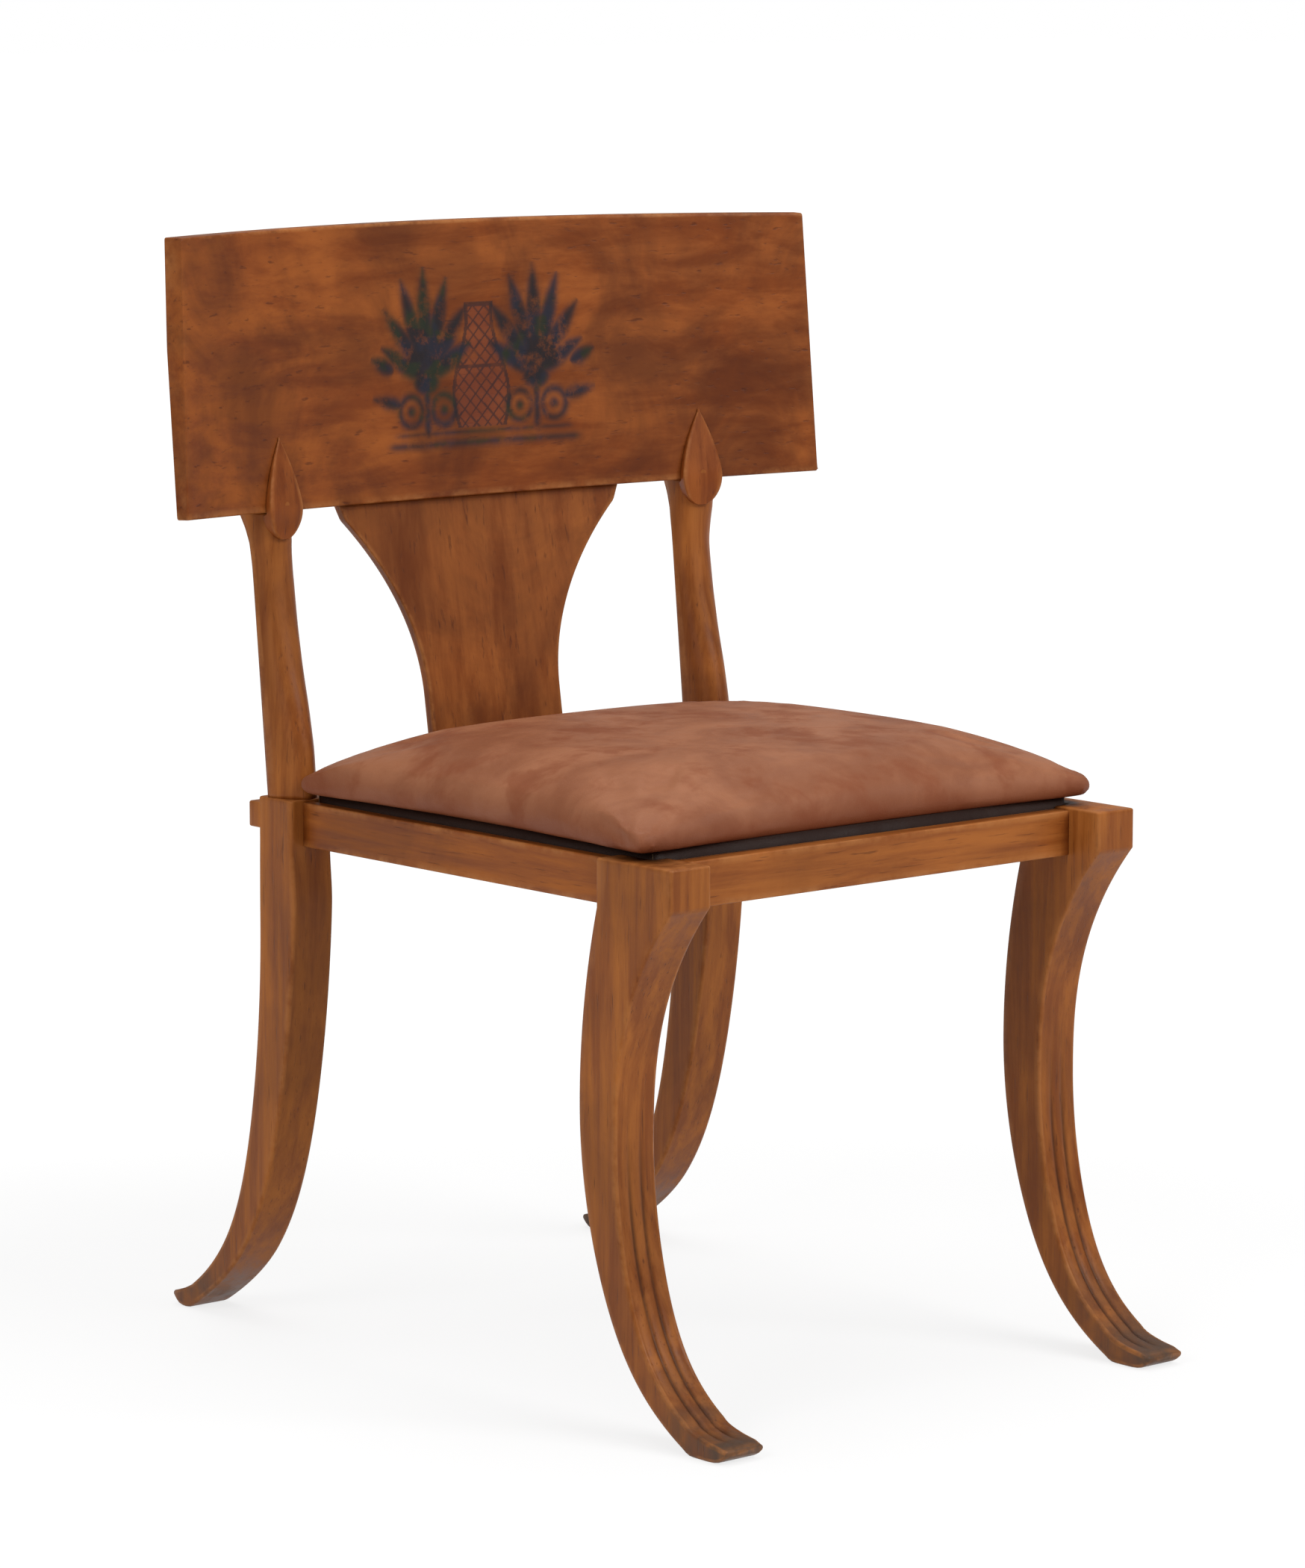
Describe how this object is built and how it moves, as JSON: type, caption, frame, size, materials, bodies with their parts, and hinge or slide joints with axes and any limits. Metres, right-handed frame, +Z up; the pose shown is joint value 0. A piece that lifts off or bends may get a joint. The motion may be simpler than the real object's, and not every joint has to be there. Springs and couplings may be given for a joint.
{
  "type": "klismos chair",
  "caption": "Side chair with a broad curved crest rail on forked stiles, a flared splat, sabre legs and a lift-out leather seat",
  "frame": {"origin": "On the floor, midway between the toes", "axes": "+Z up, the sitter faces -Y, +X to the left hand of the sitter"},
  "size_m": [0.6702, 0.6908, 0.8892],
  "materials": {
    "show_wood": "worn wax polish over walnut brown",
    "inner_wood": "plain sawn",
    "brass": "plain",
    "tack_steel": "blued",
    "webbing": "woven jute",
    "hessian": "open weave",
    "padding": "felted hair and wadding",
    "leather": "soft tan, worn",
    "dust_cloth": "plain weave"
  },
  "bodies": {
    "chair_frame": {"front_leg_left": "show_wood", "front_leg_right": "show_wood", "rear_leg_left": "show_wood", "rear_leg_right": "show_wood", "front_rail": "show_wood", "back_rail": "show_wood", "side_rail_left": "show_wood", "side_rail_right": "show_wood", "back_stile_left": "show_wood", "back_stile_right": "show_wood", "splat": "show_wood", "crest_rail": "show_wood", "fork_peg_left": "show_wood", "fork_peg_right": "show_wood", "corner_block_front_left": "inner_wood", "corner_block_front_right": "inner_wood", "corner_block_rear_left": "inner_wood", "corner_block_rear_right": "inner_wood", "corner_screws": "brass"},
    "seat": {"seat_frame_front": "inner_wood", "seat_frame_back": "inner_wood", "seat_frame_left": "inner_wood", "seat_frame_right": "inner_wood", "seat_frame_dowels": "inner_wood", "cover_tacks": "tack_steel", "seat_webbing": "webbing", "hessian_deck": "hessian", "seat_padding": "padding", "leather_cover": "leather", "dust_cloth": "dust_cloth"}
  },
  "joints": [
    {"name": "seat_lift", "type": "slide", "parent": "chair_frame", "child": "seat", "axis": [0, 0, 1], "range_m": [0, 0.48]}
  ]
}
